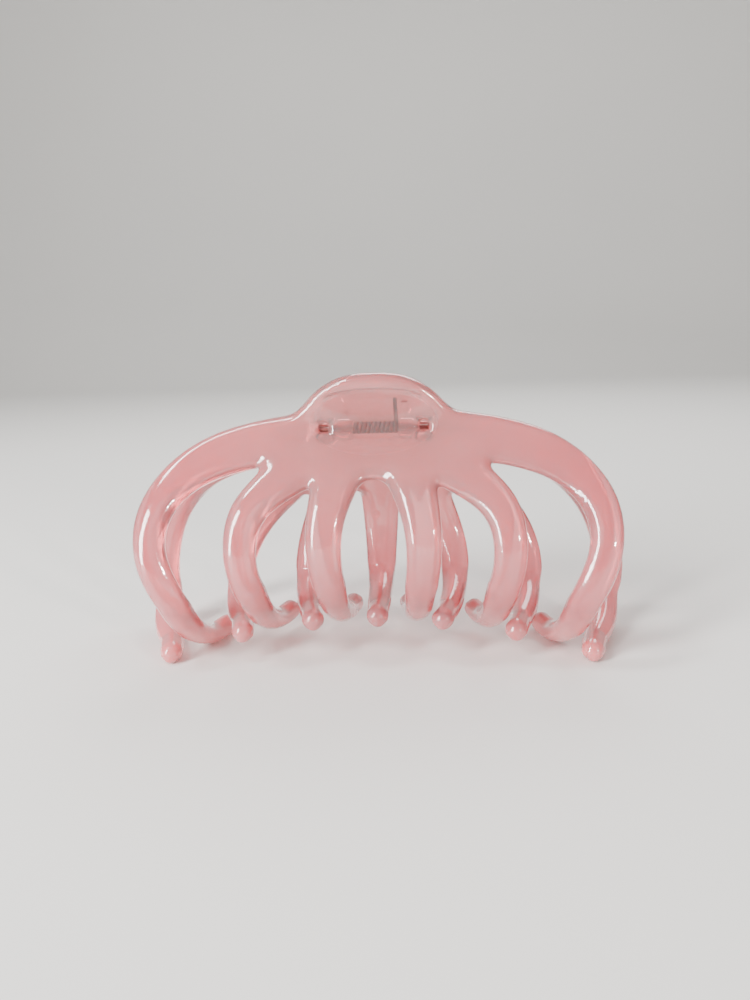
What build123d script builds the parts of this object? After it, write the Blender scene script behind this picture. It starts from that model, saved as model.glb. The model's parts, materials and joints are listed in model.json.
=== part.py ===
"""Octopus claw clip: two curved jaws with long fingers on one hinge pin, with a torsion spring.

Millimetres, +Z up.  The jaws are drawn upright about the hinge: X runs along the pin, the front
jaw bows to -Y and the back jaw to +Y, and the hooked finger ends cross over the middle plane.  At
the end everything leans back, so that the clip stands on the round ends of its outer fingers, and
is moved until those ends touch Z = 0 and its box is centred on the origin.
"""
from build123d import *
from math import atan2, cos, degrees, radians, sin
import os

# ---- driving dimensions ----------------------------------------------------------------------
# side profile of the middle of a jaw's wall, on the front jaw: (distance out, height)
PROFILE = [
    (10.4, 13.5),
    (7.5, 8.0),
    (5.4, 3.0),
    (5.0, 0.0),
    (6.0, -4.5),
    (11.2, -12.5),
    (14.7, -19.0),
    (15.7, -25.5),
    (14.2, -32.0),
    (9.8, -38.2),
    (4.0, -42.0),
]
WALL = 4.2                 # wall thickness, square to the profile
PROFILE_DROP = 45.0        # the reach of the middle fingers under the pin
TIP_ARC_RADIUS = 136.0     # outer fingers reach lower, along an arc of this radius
SHEET_HALF = 66.0          # half length of the curved sheet from which a jaw is cut
SHEET_SECTIONS = 7

# outline of the thumb tab, right half: (x, height)
TAB_EDGE = [(0.0, 11.5), (6.4, 11.0), (10.6, 9.4), (14.2, 6.8), (16.6, 4.4), (21.0, 2.4)]
DISH_HALF = (13.0, 2.0, 5.6)     # half sizes of the thumb hollow inside the rim of the tab
DISH_OUT = 9.6
DISH_HEIGHT = 4.0
DISH_TILT = 24.0
SHOULDER_ROUND = 5.0
CROTCH_ROUND = 1.0         # rounding at the top of each gap between two fingers
ARCH_ROUND = 4.0           # the gap between the two middle fingers of the front jaw is an arch
FRONT_ARCH_HALF = 5.0

# fingers, right half: middle line (x, height, width) from the root to the start of the hook
FRONT_FINGERS = [
    [(6.0, -4.0, 12.0), (8.7, -13.0, 9.4), (10.4, -20.0, 7.8), (10.9, -27.0, 7.0),
     (10.3, -34.0, 6.5)],
    [(12.0, -3.0, 12.0), (21.6, -12.0, 8.8), (27.6, -18.5, 7.3), (29.3, -26.0, 6.5),
     (28.0, -35.4, 6.2)],
    [(12.0, -1.2, 10.0), (27.0, -3.4, 9.8), (39.2, -7.4, 9.0), (47.2, -14.6, 7.6),
     (49.6, -24.0, 6.4), (47.8, -32.5, 6.3), (45.0, -39.0, 6.1)],
]
BACK_FINGERS = [
    [(8.0, -4.0, 12.0), (12.3, -14.0, 8.4), (15.7, -22.0, 7.0), (18.2, -30.0, 6.4),
     (18.6, -33.4, 6.2)],
    [(12.0, -3.0, 12.0), (23.5, -13.5, 8.8), (31.6, -22.0, 7.8), (36.0, -30.5, 7.0),
     (36.8, -35.4, 6.5)],
    [(12.0, -1.2, 10.0), (30.0, -3.6, 10.0), (44.0, -9.0, 9.2), (53.0, -19.0, 7.6),
     (56.8, -31.0, 6.8), (56.5, -38.6, 6.5)],
]
MIDDLE_TOOTH = [(0.0, -8.0, 11.0), (0.0, -16.0, 9.2), (0.0, -26.0, 7.7), (0.0, -32.6, 6.8)]
HUB_HALF = 15.0            # the plate between the tab and the roots of the fingers
FRONT_HUB_LOW = -11.5
BACK_HUB_LOW = -15.0

# hooks: how far across from the middle of the clip at the knee, the crossing and the round end
FRONT_HOOKS = [(9.2, 8.4, 7.0), (26.2, 25.0, 23.0), (42.8, 41.4, 39.3)]
BACK_HOOKS = [(18.1, 16.8, 14.8), (35.8, 33.8, 31.2), (54.4, 51.4, 48.2)]
MIDDLE_HOOK = (0.0, 0.0, 0.0)
# the same stations in side view: (distance out, height), before the arc of the ends is added
FRONT_HOOK_SIDE = [(4.6, -41.6), (-2.0, -43.4), (-9.0, -42.8)]
BACK_HOOK_SIDE = [(8.4, -38.4), (1.0, -41.2), (-7.5, -42.9)]
HOOK_SIZES = [(6.0, 4.4), (5.5, 4.3), (4.9, 4.1), (4.1, 3.9)]     # (width, thickness) after the start
HOOK_COLLAR = 0.15         # the hook starts a little thicker than the finger
HOOK_LAP = 3.6             # height of the second section of a hook under its start
HOOK_CORNER = 0.36         # corner radius of a hook's section, as a share of its thickness
TIP_RADIUS = 2.35

EDGE_ROUND = 1.5           # rounding of the long edges of the jaws

# hinge
PIN_RADIUS = 0.65
PIN_HALF = 13.1
PIN_HOLE_RADIUS = 0.68     # the outer ears grip the pin
EYE_CLEARANCE = 0.05       # the inner ears turn on the pin
EAR_RADIUS = 2.7
OUTER_EAR = (9.45, 13.2)   # from and to, along the pin
INNER_EAR = (5.6, 9.25)
EAR_ROOT = 5.2             # how far an ear reaches into the wall
EAR_FOOT = 5.0             # how far down the foot of an ear meets the wall
WINDOW_HIGH = 2.6          # small window through the wall in front of each outer ear
WINDOW_EDGE = 0.35         # web of the ear left on each side of the window
WINDOW_DEEP = 12.0

# torsion spring
WIRE_RADIUS = 0.49
COIL_RADIUS = 1.27
COIL_PITCH = 1.06
FULL_TURNS = 9
LEG_TILT = 19.0            # legs lean apart with the tabs (degrees from upright)
COIL_HALF = COIL_PITCH * (FULL_TURNS + (180 - 2 * LEG_TILT) / 360) / 2
LEG_LENGTH = 7.2
NUB_SIZE = (1.2, 2.4, 2.2)
NUB_PLACE = (7.2, 4.0, 4.3)

MEASURE_STEP = 0.05        # fineness with which the standing height is measured


# ---- jaws ------------------------------------------------------------------------------------
def stretch(x):
    """How much longer than the profile the wall is below the pin at x."""
    return 1 + x * x / (2 * TIP_ARC_RADIUS * PROFILE_DROP)


def wall_line(x):
    """Side view of the middle of the wall at x."""
    middle = []
    for out, height in PROFILE:
        middle.append((x, -out, height * stretch(x) if height < 0 else height))
    return Spline(middle)


def wall_point(x, height):
    """Point in the middle of the wall at x and a height under the pin."""
    guide = wall_line(x)
    above, below = 0.0, 1.0
    for _ in range(24):
        halfway = (above + below) / 2
        if (guide @ halfway).Z > height:
            above = halfway
        else:
            below = halfway
    return guide @ above


def wall_section(x):
    """Cross-section of the curved sheet at x, a face in a plane square to X (front jaw)."""
    guide = wall_line(x)
    outer, inner = [], []
    steps = 4 * (len(PROFILE) - 1)
    for i in range(steps + 1):
        point = guide @ (i / steps)
        along = guide % (i / steps)
        side = Vector(0, along.Z, -along.Y) * (WALL / 2)
        outer.append(point + side)
        inner.append(point - side)
    end = guide @ 1 + (guide % 1) * (WALL / 2)
    edges = [
        Spline(outer),
        ThreePointArc(outer[-1], end, inner[-1]),
        Spline(inner),
        Line(inner[0], outer[0]),
    ]
    return Face(Wire(edges))


def curved_sheet():
    steps = SHEET_SECTIONS - 1
    places = [SHEET_HALF * (2 * i / steps - 1) for i in range(SHEET_SECTIONS)]
    return Solid.make_loft([wall_section(x).outer_wire() for x in places])


def facing_up(face):
    return face if face.normal_at().Z > 0 else -face


def finger_outline(line):
    """Flat ribbon of changing width about a smooth middle line, with a round end."""
    guide = Spline([(x, z) for x, z, _ in line])
    left, right = [], []
    for x, z, width in line:
        point = Vector(x, z)
        place = guide.param_at_point(point)
        along = guide % place
        side = Vector(along.Y, -along.X) * (width / 2)
        left.append(point - side)
        right.append(point + side)
    end = guide @ 1 + (guide % 1) * (line[-1][2] / 2)
    edges = [
        Spline(left),
        ThreePointArc(left[-1], end, right[-1]),
        Spline(right),
        Line(right[0], left[0]),
    ]
    return facing_up(Face(Wire(edges)))


def tab_outline(low):
    right = TAB_EDGE
    left = [(-x, z) for x, z in reversed(right[1:])]
    edge = Spline(left + right)
    sides = Polyline(right[-1], (right[-1][0], 0), (HUB_HALF, low), (-HUB_HALF, low),
                     (left[0][0], 0), left[0])
    return facing_up(Face(Wire([edge] + sides.edges())))


def jaw_outline(fingers, middle_tooth, hub_low):
    """Flat outline of one jaw, as seen along Y."""
    flat = Sketch() + tab_outline(hub_low)
    for line in fingers:
        mirrored = [(-x, z, width) for x, z, width in line]
        flat += finger_outline(line)
        flat += finger_outline(mirrored)
    if middle_tooth:
        flat += finger_outline(middle_tooth)
    return flat


def rounded_corners(flat, arch_half):
    """Rounds the shoulders and the tops of the gaps; a gap within arch_half of the middle is an arch."""
    shoulders = [corner for corner in flat.vertices() if corner.Y > 0]
    flat = fillet(shoulders, SHOULDER_ROUND)
    crotches = [corner for corner in flat.vertices() if BACK_HUB_LOW - 1 < corner.Y < -5]
    flat = fillet([corner for corner in crotches if abs(corner.X) > arch_half], CROTCH_ROUND)
    if arch_half:
        arch = [corner for corner in flat.vertices() if abs(corner.X) < arch_half and corner.Y < -5]
        flat = fillet(arch, ARCH_ROUND)
    return flat


def jaw_blank(fingers, middle_tooth, hub_low, arch_half):
    """The curved sheet cut to the outline of the jaw, with rounded edges."""
    flat = rounded_corners(jaw_outline(fingers, middle_tooth, hub_low), arch_half)
    block = extrude(Plane.XZ * flat, 30, both=True)
    blank = (curved_sheet() & block).solid()
    return blank.fillet(EDGE_ROUND, blank.edges())


def hook(line, across, side_view):
    """Hooked end of one finger: it curves in under the hair and ends in a ball."""
    x, height, width = line[-1]
    lap = (x + across[0]) / 2
    points = [wall_point(x, height), wall_point(lap, height - HOOK_LAP)]
    reach = stretch(across[-1])
    for place, (out, low) in zip(across, side_view):
        points.append(Vector(place, -out, low * reach))
    path = Spline(points)
    start = (width + 2 * HOOK_COLLAR, WALL + 2 * HOOK_COLLAR)
    sections = []
    for point, (wide, thick) in zip(points, [start] + HOOK_SIZES):
        along = path % path.param_at_point(point)
        sheet_across = Vector(1, 0, 0) - along * along.X
        plane = Plane(origin=point, x_dir=sheet_across, z_dir=along)
        sections.append(plane * RectangleRounded(wide, thick, HOOK_CORNER * thick))
    return loft(sections) + Pos(points[-1]) * Sphere(TIP_RADIUS)


def hooks(fingers, places, side_view):
    made = []
    for line, across in zip(fingers, places):
        for way in (-1, 1):
            turned = [(way * x, z, width) for x, z, width in line]
            made.append(hook(turned, [way * x for x in across], side_view))
    return made


def ear(side, span):
    """Hinge ear: a lug from the wall on the given side of the pin, round about the pin."""
    length = span[1] - span[0]
    barrel = Rot(Y=90) * Cylinder(EAR_RADIUS, length)
    wall = side * EAR_ROOT
    foot = Polygon((0, EAR_RADIUS), (wall, EAR_RADIUS), (wall, -EAR_FOOT), (0, -EAR_RADIUS), align=None)
    root = extrude(Plane.YZ * foot, length / 2, both=True)
    return Pos((span[0] + span[1]) / 2, 0, 0) * (barrel + root)


def pin_hole(radius):
    return Rot(Y=90) * Cylinder(radius, 4 * PIN_HALF)


def tab_dish(side):
    """Shallow thumb hollow in the outer face of the tab."""
    hollow = scale(Sphere(1), by=(DISH_HALF[0], DISH_HALF[1], DISH_HALF[2]))
    return Pos(0, side * DISH_OUT, DISH_HEIGHT) * Rot(X=side * DISH_TILT) * hollow


def spring_nub(side):
    """Small rib inside the tab that keeps the spring leg in place."""
    x = -side * NUB_PLACE[0]
    return Pos(x, side * NUB_PLACE[1], NUB_PLACE[2]) * Rot(X=-side * LEG_TILT) * Box(*NUB_SIZE)


def front_jaw():
    jaw = jaw_blank(FRONT_FINGERS, None, FRONT_HUB_LOW, FRONT_ARCH_HALF)
    for end in hooks(FRONT_FINGERS, FRONT_HOOKS, FRONT_HOOK_SIDE):
        jaw += end
    for way in (-1, 1):
        span = sorted((way * OUTER_EAR[0], way * OUTER_EAR[1]))
        jaw += ear(-1, span)
    jaw += spring_nub(-1)
    jaw -= pin_hole(PIN_HOLE_RADIUS)
    for way in (-1, 1):
        place = way * (OUTER_EAR[0] + OUTER_EAR[1]) / 2
        width = OUTER_EAR[1] - OUTER_EAR[0] - 2 * WINDOW_EDGE
        jaw -= Pos(place, -WINDOW_DEEP / 2, 0) * Box(width, WINDOW_DEEP, WINDOW_HIGH)
    return jaw - tab_dish(-1)


def back_jaw():
    jaw = jaw_blank(BACK_FINGERS, MIDDLE_TOOTH, BACK_HUB_LOW, 0)
    for end in hooks(BACK_FINGERS, BACK_HOOKS, BACK_HOOK_SIDE):
        jaw += end
    jaw += hook(MIDDLE_TOOTH, MIDDLE_HOOK, BACK_HOOK_SIDE)
    jaw = mirror(jaw, about=Plane.XZ)
    for way in (-1, 1):
        span = sorted((way * INNER_EAR[0], way * INNER_EAR[1]))
        jaw += ear(1, span)
    jaw += spring_nub(1)
    jaw -= pin_hole(PIN_RADIUS + EYE_CLEARANCE)
    return jaw - tab_dish(1)


# ---- hinge parts -----------------------------------------------------------------------------
def hinge_pin():
    pin = Rot(Y=90) * Cylinder(PIN_RADIUS, 2 * PIN_HALF)
    return chamfer(pin.edges(), PIN_RADIUS / 4)


def spring_leg(side):
    """Straight leg along the inside of one tab, leaving the coil on a tangent."""
    lean = radians(LEG_TILT)
    foot = Vector(-side * COIL_HALF, side * COIL_RADIUS * cos(lean), -COIL_RADIUS * sin(lean))
    leg = Solid.make_cylinder(WIRE_RADIUS, LEG_LENGTH,
                              Plane(origin=foot, z_dir=(0, side * sin(lean), cos(lean))))
    tip = leg.edges().sort_by(Axis.Z)[-1]
    return leg.fillet(WIRE_RADIUS * 0.6, [tip]) + Pos(foot) * Sphere(WIRE_RADIUS)


def torsion_spring():
    lean = radians(LEG_TILT)
    back_foot = (0, cos(lean), -sin(lean))
    start = Plane(origin=(-COIL_HALF, 0, 0), x_dir=back_foot, z_dir=(1, 0, 0))
    path = start * Helix(COIL_PITCH, 2 * COIL_HALF, COIL_RADIUS, lefthand=True)
    section = Plane(origin=path @ 0, z_dir=path % 0) * Circle(WIRE_RADIUS)
    coil = sweep(section, path=path, is_frenet=True)
    return coil + spring_leg(-1) + spring_leg(1)


# ---- standing --------------------------------------------------------------------------------
def extent(shapes):
    """Lowest and highest corner of the box round the given shapes, from their surfaces."""
    points = []
    for shape in shapes:
        points += shape.tessellate(MEASURE_STEP)[0]
    low = [min(getattr(point, axis) for point in points) for axis in "XYZ"]
    high = [max(getattr(point, axis) for point in points) for axis in "XYZ"]
    return low, high


def stand_lean():
    """The lean at which the round ends of the outermost fingers of both jaws are level."""
    far_out, far_low = FRONT_HOOK_SIDE[-1]
    near_out, near_low = BACK_HOOK_SIDE[-1]
    far_height = far_low * stretch(FRONT_HOOKS[-1][-1])
    near_height = near_low * stretch(BACK_HOOKS[-1][-1])
    return degrees(atan2(far_height - near_height, -far_out - near_out))


def main():
    leaning = Rot(X=-stand_lean())
    nodes = {
        "front_jaw": leaning * front_jaw(),
        "back_jaw": leaning * back_jaw(),
        "hinge_pin": leaning * hinge_pin(),
        "torsion_spring": leaning * torsion_spring(),
    }
    low, high = extent([nodes["front_jaw"], nodes["back_jaw"]])
    lift = Pos(0, -(low[1] + high[1]) / 2, -low[2])
    os.makedirs("parts", exist_ok=True)
    for name, shape in nodes.items():
        export_step(lift * shape, "parts/" + name + ".step")
    hinge = (lift * Pos(0, 0, 0)).position
    print("lean", stand_lean(), "hinge axis at", hinge)
    print("box", [round(b - a, 2) for a, b in zip(low, high)])


if __name__ == "__main__":
    main()
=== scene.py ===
"""Visual model of the octopus claw clip: translucent jelly plastic jaws, steel pin and spring."""
import json
import math

import bmesh
import bpy
from mathutils import Matrix, Vector
from mathutils.kdtree import KDTree


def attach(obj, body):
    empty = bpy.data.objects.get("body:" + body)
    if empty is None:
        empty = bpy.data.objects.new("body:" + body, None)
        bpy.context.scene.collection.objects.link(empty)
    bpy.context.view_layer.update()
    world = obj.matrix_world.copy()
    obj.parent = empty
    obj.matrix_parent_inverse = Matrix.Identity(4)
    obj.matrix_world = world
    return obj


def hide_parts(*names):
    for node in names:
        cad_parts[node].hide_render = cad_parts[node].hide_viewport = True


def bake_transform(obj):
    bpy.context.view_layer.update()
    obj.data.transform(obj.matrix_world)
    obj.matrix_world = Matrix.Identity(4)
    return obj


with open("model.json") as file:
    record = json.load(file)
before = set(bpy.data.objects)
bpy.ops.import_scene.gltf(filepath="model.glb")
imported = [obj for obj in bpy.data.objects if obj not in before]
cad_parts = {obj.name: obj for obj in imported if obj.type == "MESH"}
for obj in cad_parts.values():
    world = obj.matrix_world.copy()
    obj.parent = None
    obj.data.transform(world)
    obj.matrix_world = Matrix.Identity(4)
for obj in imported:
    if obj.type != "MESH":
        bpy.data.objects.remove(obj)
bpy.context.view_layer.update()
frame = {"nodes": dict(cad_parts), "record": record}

MM = 0.001

# ---- camera: the eye against the hinge pin, and how it is turned --------------------------------
EYE_FROM_HINGE = Vector((0.01129, -0.17413, 0.02427))
CAMERA_TURN = 3.93         # degrees to the left of straight on
CAMERA_PITCH = 13.41       # degrees down
CAMERA_ROLL = 1.98
LENS = 27.0                # on a 36 mm long side

# ---- jaws ---------------------------------------------------------------------------------------
VOXEL = 0.3 * MM
SMOOTH_STEPS = 90
PLUMP = 0.42 * MM          # makes good what the softening takes off the side walls
CROWN = 0.55 * MM          # how far the middle of a finger stands above its edges
CROWN_REACH = 3.6 * MM     # from the edge to the middle
GRIP_DEPTH = 24            # mm from the pin down to the middle of the space between the jaws
SIDE_WALL = 0.4            # a wall that faces less than this much outwards is a side wall
FULL_FACE = 0.9            # and one that faces more than this is the face of a finger
CRISP_HALF = 13.8 * MM     # the ears and windows keep their edges this far along the pin
CRISP_REACH = 3.6 * MM     # and this far from it
CRISP_SHARE = 0.12         # how much of the softening is left there
CRISP_FADE = 2.0 * MM

# the necks behind the ball ends, in the clip's own frame (mm from the pin, before the lean): the
# ball's middle and the hook's last bend, as (depth, height) and as places along the pin
LEAN = math.radians(9.773)
NECK_SIDES = {
    "front_jaw": ((9.0, -42.8), (2.0, -43.4)),
    "back_jaw": ((-7.5, -42.9), (1.0, -41.2)),
}
NECK_PLACES = {
    "front_jaw": [(7.0, 8.4), (23.0, 25.0), (39.3, 41.4)],
    "back_jaw": [(0, 0), (14.8, 16.8), (31.2, 33.8), (48.2, 51.4)],
}
REACH_GROWTH = 1 / 12240   # the outer hooks reach lower, with the square of their place
NECK_BEADS = 9
NECK_SHARE = 0.55          # how far along the neck the beads go
NECK_RADIUS = 2.35         # at the ball
NECK_TAPER = 0.25          # how much thinner at the far end

# round ejector marks inside the back fingers, from the hinge pin
MARKS = [
    Vector((0.3, 5.2, -35.4)) * MM,
    Vector((36.7, 5.6, -37.5)) * MM,
    Vector((-1.4, 9.3, -23.0)) * MM,
]
MARK_RADIUS = 1.1 * MM
MARK_EDGE = 0.35 * MM
MARK_DEEP = 0.14 * MM

# ---- jelly plastic: colours are linear RGB ------------------------------------------------------
PINK = (0.92, 0.41, 0.43)
DEEPER_PINK = (0.90, 0.35, 0.38)       # cloudy patches
FLOW_PINK = (0.90, 0.43, 0.46)         # upright flow lines
HUB_PINK = (0.90, 0.53, 0.53)          # paler in the middle of the clip
CLEAR_PINK = (0.91, 0.65, 0.64)        # and clear around the pin
END_PINK = (0.93, 0.29, 0.30)          # the hooked ends are rosier and milkier
DIRT = (0.35, 0.16, 0.15)
ABSORBED = (0.90, 0.32, 0.32)
ABSORBED_DENSITY = 150.0

# two soft ellipsoids: middle against the pin, half sizes, and the share of them that fades
HUB_FIELD = (Vector((0, 0, -6)) * MM, (34 * MM, 34 * MM, 20 * MM), 0.5)
CLEAR_FIELD = (Vector((0, 0, 2)) * MM, (17 * MM, 18 * MM, 9 * MM), 0.5)
ROSY_LOW = 3 * MM          # the hooked ends' colour goes from full to none between these heights
ROSY_HIGH = 14 * MM

ROUGH_LOW, ROUGH_HIGH = 0.09, 0.13
CLEAR_ROUGH_SHARE = 0.45   # how much of the roughness is left in the clear field
SEE_THROUGH = 0.78
CLEAR_SEE_THROUGH = 0.92
END_SEE_THROUGH_SHARE = 0.5

CLOUD_SCALE = 45           # noise scales, per metre
FLOW_SCALE = 420
FLOW_STRETCH = (1, 1, 0.06)
HAZE_SCALE = 180
RIPPLE_SCALE = 160
DIRT_SPOTS = (130, 0.22 * MM, 0.06)    # cells per metre, spot radius, share of cells with a spot
PIMPLE_SPOTS = (170, 0.25 * MM, 0.05)

# ---- steel --------------------------------------------------------------------------------------
PIN_COLOUR, PIN_ROUGHNESS = (0.60, 0.55, 0.53), 0.3
SPRING_COLOUR, SPRING_ROUGHNESS = (0.18, 0.13, 0.12), 0.4
WELD = 0.0005 * MM

hinge = Vector(frame["record"]["behaviour"]["joints"][0]["pos_m"])


# ---- small helpers ------------------------------------------------------------------------------
def node_tree(material):
    material.use_nodes = True
    tree = material.node_tree
    tree.nodes.clear()
    return tree


def add_node(tree, kind, **values):
    node = tree.nodes.new(kind)
    for name, value in values.items():
        setattr(node, name, value)
    return node


def object_coords(tree):
    return add_node(tree, "ShaderNodeTexCoord").outputs["Object"]


def noise(tree, coords, scale, detail=3.0, stretch=(1, 1, 1)):
    place = add_node(tree, "ShaderNodeMapping")
    place.inputs["Scale"].default_value = stretch
    tree.links.new(coords, place.inputs["Vector"])
    node = add_node(tree, "ShaderNodeTexNoise")
    node.inputs["Scale"].default_value = scale
    node.inputs["Detail"].default_value = detail
    tree.links.new(place.outputs["Vector"], node.inputs["Vector"])
    return node.outputs["Fac"]


def remap(tree, value, low, high, from_low=0.3, from_high=0.7):
    node = add_node(tree, "ShaderNodeMapRange")
    node.inputs["From Min"].default_value = from_low
    node.inputs["From Max"].default_value = from_high
    node.inputs["To Min"].default_value = low
    node.inputs["To Max"].default_value = high
    tree.links.new(value, node.inputs["Value"])
    return node.outputs["Result"]


def math_node(tree, operation, a, b):
    node = add_node(tree, "ShaderNodeMath", operation=operation)
    for socket, value in zip(node.inputs, (a, b)):
        if isinstance(value, (int, float)):
            socket.default_value = value
        else:
            tree.links.new(value, socket)
    return node.outputs[0]


def colour_mix(tree, factor, a, b):
    node = add_node(tree, "ShaderNodeMix", data_type="RGBA")
    tree.links.new(factor, node.inputs["Factor"])
    for socket, value in ((node.inputs["A"], a), (node.inputs["B"], b)):
        if isinstance(value, tuple):
            socket.default_value = (*value, 1)
        else:
            tree.links.new(value, socket)
    return node.outputs["Result"]


def specks(tree, coords, scale, radius, share):
    """Sparse round spots: 1 inside a spot, 0 outside; a share of the cells has one."""
    cells = add_node(tree, "ShaderNodeTexVoronoi")
    cells.inputs["Scale"].default_value = scale
    tree.links.new(coords, cells.inputs["Vector"])
    split = add_node(tree, "ShaderNodeSeparateColor")
    tree.links.new(cells.outputs["Color"], split.inputs["Color"])
    chosen = math_node(tree, "LESS_THAN", split.outputs["Red"], share)
    inside = remap(tree, cells.outputs["Distance"], 1, 0, radius * scale * 0.5, radius * scale)
    return math_node(tree, "MULTIPLY", chosen, inside)


def field(tree, coords, ellipsoid):
    """1 inside a soft ellipsoid, falling to 0 outside it over a share of its size."""
    middle, half_sizes, fade = ellipsoid
    place = add_node(tree, "ShaderNodeVectorMath", operation="SUBTRACT")
    tree.links.new(coords, place.inputs[0])
    place.inputs[1].default_value = hinge + middle
    shape = add_node(tree, "ShaderNodeVectorMath", operation="DIVIDE")
    tree.links.new(place.outputs["Vector"], shape.inputs[0])
    shape.inputs[1].default_value = half_sizes
    length = add_node(tree, "ShaderNodeVectorMath", operation="LENGTH")
    tree.links.new(shape.outputs["Vector"], length.inputs[0])
    return remap(tree, length.outputs["Value"], 1, 0, 1 - fade, 1 + fade)


# ---- materials ----------------------------------------------------------------------------------
def jelly_material():
    material = bpy.data.materials.new("milky_pink_jelly")
    tree = node_tree(material)
    out = add_node(tree, "ShaderNodeOutputMaterial")
    shader = add_node(tree, "ShaderNodeBsdfPrincipled")
    tree.links.new(shader.outputs["BSDF"], out.inputs["Surface"])
    coords = object_coords(tree)
    cloud = remap(tree, noise(tree, coords, CLOUD_SCALE), 0, 1)
    base = colour_mix(tree, cloud, PINK, DEEPER_PINK)
    hub = field(tree, coords, HUB_FIELD)
    base = colour_mix(tree, hub, base, HUB_PINK)
    flow = remap(tree, noise(tree, coords, FLOW_SCALE, 2, FLOW_STRETCH), 0, 0.3)
    base = colour_mix(tree, flow, base, FLOW_PINK)
    base = colour_mix(tree, specks(tree, coords, *DIRT_SPOTS), base, DIRT)
    clear = field(tree, coords, CLEAR_FIELD)
    base = colour_mix(tree, clear, base, CLEAR_PINK)
    place = add_node(tree, "ShaderNodeSeparateXYZ")
    tree.links.new(coords, place.inputs["Vector"])
    ends = remap(tree, place.outputs["Z"], 1, 0, ROSY_LOW, ROSY_HIGH)
    base = colour_mix(tree, ends, base, END_PINK)
    tree.links.new(base, shader.inputs["Base Color"])
    haze = remap(tree, noise(tree, coords, HAZE_SCALE), ROUGH_LOW, ROUGH_HIGH)
    crisp = remap(tree, clear, 1, CLEAR_ROUGH_SHARE, 0, 1)
    tree.links.new(math_node(tree, "MULTIPLY", haze, crisp), shader.inputs["Roughness"])
    shader.inputs["Coat Weight"].default_value = 1.0
    shader.inputs["Coat Roughness"].default_value = 0.04
    shader.inputs["IOR"].default_value = 1.49
    clarity = remap(tree, clear, SEE_THROUGH, CLEAR_SEE_THROUGH, 0, 1)
    milkier = remap(tree, ends, 1, END_SEE_THROUGH_SHARE, 0, 1)
    see_through = math_node(tree, "MULTIPLY", clarity, milkier)
    tree.links.new(see_through, shader.inputs["Transmission Weight"])
    shader.inputs["Subsurface Weight"].default_value = 0.85
    shader.inputs["Subsurface Radius"].default_value = (1.0, 0.5, 0.45)
    shader.inputs["Subsurface Scale"].default_value = 3 * MM
    ripple = remap(tree, noise(tree, coords, RIPPLE_SCALE, 2), 0, 1)
    height = math_node(tree, "ADD", ripple, specks(tree, coords, *PIMPLE_SPOTS))
    bump = add_node(tree, "ShaderNodeBump")
    bump.inputs["Strength"].default_value = 0.08
    bump.inputs["Distance"].default_value = 0.25 * MM
    tree.links.new(height, bump.inputs["Height"])
    tree.links.new(bump.outputs["Normal"], shader.inputs["Normal"])
    volume = add_node(tree, "ShaderNodeVolumeAbsorption")
    volume.inputs["Color"].default_value = (*ABSORBED, 1)
    volume.inputs["Density"].default_value = ABSORBED_DENSITY
    tree.links.new(volume.outputs["Volume"], out.inputs["Volume"])
    return material


def steel_material(name, base, roughness):
    material = bpy.data.materials.new(name)
    tree = node_tree(material)
    out = add_node(tree, "ShaderNodeOutputMaterial")
    shader = add_node(tree, "ShaderNodeBsdfPrincipled")
    tree.links.new(shader.outputs["BSDF"], out.inputs["Surface"])
    coords = object_coords(tree)
    worn = remap(tree, noise(tree, coords, 900), 0, 1)
    dull = tuple(0.7 * c for c in base)
    tree.links.new(colour_mix(tree, worn, base, dull), shader.inputs["Base Color"])
    shader.inputs["Metallic"].default_value = 1.0
    drawn = noise(tree, coords, 2500, 3, (0.15, 1, 1))
    rough = remap(tree, drawn, roughness - 0.06, roughness + 0.08)
    tree.links.new(rough, shader.inputs["Roughness"])
    bump = add_node(tree, "ShaderNodeBump")
    bump.inputs["Strength"].default_value = 0.2
    bump.inputs["Distance"].default_value = 0.01 * MM
    tree.links.new(drawn, bump.inputs["Height"])
    tree.links.new(bump.outputs["Normal"], shader.inputs["Normal"])
    return material


def plain_material(name, base, roughness):
    material = bpy.data.materials.new(name)
    tree = node_tree(material)
    out = add_node(tree, "ShaderNodeOutputMaterial")
    shader = add_node(tree, "ShaderNodeBsdfPrincipled")
    tree.links.new(shader.outputs["BSDF"], out.inputs["Surface"])
    tone = remap(tree, noise(tree, object_coords(tree), 3), 0, 1)
    lighter = tuple(1.03 * c for c in base)
    tree.links.new(colour_mix(tree, tone, base, lighter), shader.inputs["Base Color"])
    shader.inputs["Roughness"].default_value = roughness
    return material


# ---- pieces -------------------------------------------------------------------------------------
def paint(obj, material):
    obj.data.materials.clear()
    obj.data.materials.append(material)


def softness(place):
    """Share of the softening at a point of a jaw: little by the pin, all of it elsewhere."""
    along = abs(place.x) - CRISP_HALF
    out = math.hypot(place.y - hinge.y, place.z - hinge.z) - CRISP_REACH
    away = max(along, out) / CRISP_FADE
    return CRISP_SHARE + (1 - CRISP_SHARE) * min(max(away, 0), 1)


def evaluated_mesh(obj):
    depsgraph = bpy.context.evaluated_depsgraph_get()
    return bpy.data.meshes.new_from_object(obj.evaluated_get(depsgraph))


def from_clip_frame(x, depth, height):
    """A point of the clip's own frame in mm, as a point of the shared frame."""
    turned = Matrix.Rotation(-LEAN, 3, "X") @ Vector((x, depth, height))
    return hinge + turned * MM


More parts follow.
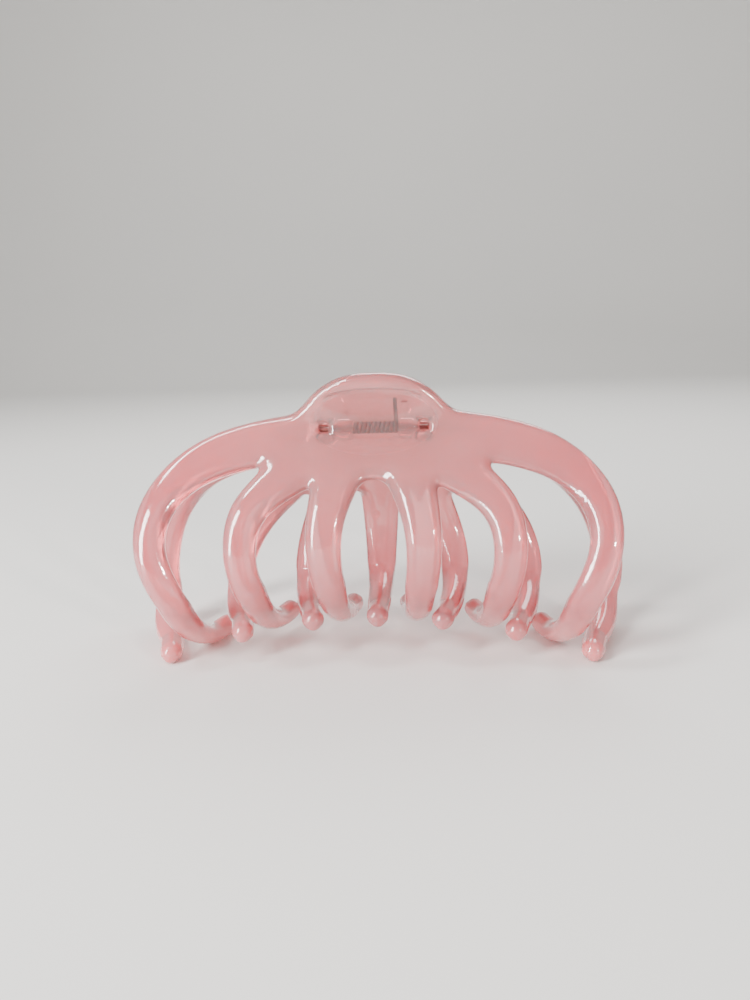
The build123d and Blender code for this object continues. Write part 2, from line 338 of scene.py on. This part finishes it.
def thicken_necks(obj, node):
    """Overlapping beads that blend each ball end into its hook."""
    shape = bmesh.new()
    shape.from_mesh(obj.data)
    (ball_depth, ball_height), (bend_depth, bend_height) = NECK_SIDES[node]
    for ball_place, bend_place in NECK_PLACES[node]:
        reach = 1 + ball_place ** 2 * REACH_GROWTH
        for side in (1, -1) if ball_place else (1,):
            ball = from_clip_frame(side * ball_place, ball_depth, ball_height * reach)
            bend = from_clip_frame(side * bend_place, bend_depth, bend_height * reach)
            for i in range(NECK_BEADS):
                share = i / (NECK_BEADS - 1)
                middle = Matrix.Translation(ball.lerp(bend, share * NECK_SHARE))
                radius = (NECK_RADIUS - NECK_TAPER * share) * MM
                bmesh.ops.create_icosphere(shape, subdivisions=3, radius=radius, matrix=middle)
    shape.to_mesh(obj.data)
    shape.free()


def outwardness(place, normal):
    """How squarely a wall faces away from, or into, the space that the jaws curve round."""
    out = place - from_clip_frame(0, 0, -GRIP_DEPTH)
    out.x = 0
    return abs(normal.dot(out.normalized()))


def crown(obj):
    """Plumps the side walls, and gives the faces of the fingers a rounded crown."""
    vertices = obj.data.vertices
    facing = [outwardness(vertex.co, vertex.normal) for vertex in vertices]
    sides = [vertex.co.copy() for vertex, share in zip(vertices, facing) if share < SIDE_WALL]
    tree = KDTree(len(sides))
    for index, place in enumerate(sides):
        tree.insert(place, index)
    tree.balance()
    offsets = []
    for vertex, share in zip(vertices, facing):
        face = min(max((share - SIDE_WALL) / (FULL_FACE - SIDE_WALL), 0), 1)
        inwards = min(tree.find(vertex.co)[2] / CROWN_REACH, 1)
        rise = CROWN * (1 - (1 - inwards) ** 2)
        amount = (PLUMP * (1 - face) + rise * face) * softness(vertex.co)
        offsets.append(vertex.normal * amount)
    for vertex, offset in zip(vertices, offsets):
        vertex.co += offset


def moulded_copy(node, name, material):
    """The CAD jaw with softened, moulded edges, as one closed mesh."""
    obj = bpy.data.objects.new(name, frame["nodes"][node].data.copy())
    bpy.context.scene.collection.objects.link(obj)
    thicken_necks(obj, node)
    remesh = obj.modifiers.new("even", "REMESH")
    remesh.mode = "VOXEL"
    remesh.voxel_size = VOXEL
    obj.data = evaluated_mesh(obj)
    obj.modifiers.clear()
    group = obj.vertex_groups.new(name="soft")
    for vertex in obj.data.vertices:
        group.add([vertex.index], softness(vertex.co), "REPLACE")
    smooth = obj.modifiers.new("soften", "SMOOTH")
    smooth.factor = 0.5
    smooth.iterations = SMOOTH_STEPS
    smooth.vertex_group = "soft"
    obj.data = evaluated_mesh(obj)
    obj.modifiers.clear()
    obj.vertex_groups.clear()
    crown(obj)
    obj.data.shade_smooth()
    paint(obj, material)
    return obj


def press_marks(obj):
    """Shallow round recesses where the ejector pins pushed the moulding out."""
    for vertex in obj.data.vertices:
        for mark in MARKS:
            from_middle = (vertex.co - hinge - mark).length
            if from_middle > MARK_RADIUS + MARK_EDGE or vertex.normal.y > 0:
                continue
            edge = min((MARK_RADIUS + MARK_EDGE - from_middle) / (2 * MARK_EDGE), 1)
            vertex.co -= vertex.normal * MARK_DEEP * edge


def smooth_copy(node, name, material):
    """The CAD piece as a mesh of its own, shaded smooth."""
    obj = bpy.data.objects.new(name, frame["nodes"][node].data.copy())
    bpy.context.scene.collection.objects.link(obj)
    shape = bmesh.new()
    shape.from_mesh(obj.data)
    bmesh.ops.remove_doubles(shape, verts=shape.verts, dist=WELD)
    shape.to_mesh(obj.data)
    shape.free()
    obj.data.shade_smooth()
    paint(obj, material)
    return obj


def stand_for(node):
    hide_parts(node)


jelly = jelly_material()
pin_steel = steel_material("pin_steel", PIN_COLOUR, PIN_ROUGHNESS)
spring_steel = steel_material("spring_steel", SPRING_COLOUR, SPRING_ROUGHNESS)

front = moulded_copy("front_jaw", "front_jaw_moulding", jelly)
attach(front, "front")
stand_for("front_jaw")

back = moulded_copy("back_jaw", "back_jaw_moulding", jelly)
press_marks(back)
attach(back, "back")
stand_for("back_jaw")

pin = smooth_copy("hinge_pin", "pin_wire", pin_steel)
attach(pin, "front")
stand_for("hinge_pin")

spring = smooth_copy("torsion_spring", "spring_wire", spring_steel)
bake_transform(spring)
stand_for("torsion_spring")


# ---- floor, light, camera -----------------------------------------------------------------------
FLOOR_HALF = 3.0
SWEEP_START = 0.75         # the floor curves up behind the clip into a plain backdrop
SWEEP_RADIUS = 0.5
SWEEP_STEPS = 24
WALL_TOP = 2.0
PAPER = (0.74, 0.73, 0.71)
ROOM, ROOM_STRENGTH = (0.84, 0.83, 0.82), 0.65

# name, place, size, power and colour; the window also makes the long streaks on the fingers, and
# the lamp the small dots on their right
LIGHTS = [
    ("window", (-0.50, -0.46, 0.30), (0.16, 0.66), 15, (1, 0.99, 0.97)),
    ("lamp", (0.55, -0.60, 0.22), (0.05, 0.05), 3.5, (1, 0.95, 0.88)),
    ("skylight", (-0.34, -0.10, 0.70), (0.10, 0.20), 2.4),
    ("back_glow", (0.1, 0.45, 0.55), (0.5, 0.3), 3),
]


def sweep():
    """Pale floor and backdrop in one piece, with no corner between them."""
    line = [(-FLOOR_HALF, 0), (SWEEP_START, 0)]
    for i in range(1, SWEEP_STEPS + 1):
        turn = math.pi / 2 * i / SWEEP_STEPS
        across = SWEEP_START + SWEEP_RADIUS * math.sin(turn)
        line.append((across, SWEEP_RADIUS * (1 - math.cos(turn))))
    line.append((SWEEP_START + SWEEP_RADIUS, WALL_TOP))
    points = [(side * FLOOR_HALF, y, z) for y, z in line for side in (-1, 1)]
    faces = [(2 * i, 2 * i + 1, 2 * i + 3, 2 * i + 2) for i in range(len(line) - 1)]
    mesh = bpy.data.meshes.new("sweep")
    mesh.from_pydata(points, [], faces)
    mesh.shade_smooth()
    obj = bpy.data.objects.new("sweep", mesh)
    bpy.context.scene.collection.objects.link(obj)
    paint(obj, plain_material("pale_paper", PAPER, 0.7))


def area_light(name, place, size, power, color=(1, 1, 1)):
    data = bpy.data.lights.new(name, "AREA")
    data.shape = "RECTANGLE"
    data.size, data.size_y = size
    data.energy = power
    data.color = color
    obj = bpy.data.objects.new(name, data)
    obj.location = place
    obj.rotation_euler = (hinge - Vector(place)).to_track_quat("-Z", "Y").to_euler()
    bpy.context.scene.collection.objects.link(obj)


def world_light():
    world = bpy.data.worlds.new("soft_room")
    bpy.context.scene.world = world
    world.use_nodes = True
    background = world.node_tree.nodes["Background"]
    background.inputs["Color"].default_value = (*ROOM, 1)
    background.inputs["Strength"].default_value = ROOM_STRENGTH


def camera():
    turn, pitch, roll = (math.radians(a) for a in (CAMERA_TURN, CAMERA_PITCH, CAMERA_ROLL))
    level = Vector((-math.sin(turn), math.cos(turn), 0))
    ahead = level * math.cos(pitch) - Vector((0, 0, math.sin(pitch)))
    right = ahead.cross(Vector((0, 0, 1))).normalized()
    up = right.cross(ahead)
    up = up * math.cos(roll) + right * math.sin(roll)
    right = ahead.cross(up)
    data = bpy.data.cameras.new("camera")
    data.lens = LENS
    data.sensor_width = 36.0
    data.clip_start = 0.01
    obj = bpy.data.objects.new("camera", data)
    turned = Matrix((right, up, -ahead)).transposed().to_4x4()
    obj.matrix_world = Matrix.Translation(hinge + EYE_FROM_HINGE) @ turned
    bpy.context.scene.collection.objects.link(obj)
    bpy.context.scene.camera = obj


sweep()
world_light()
for light in LIGHTS:
    area_light(*light)
camera()
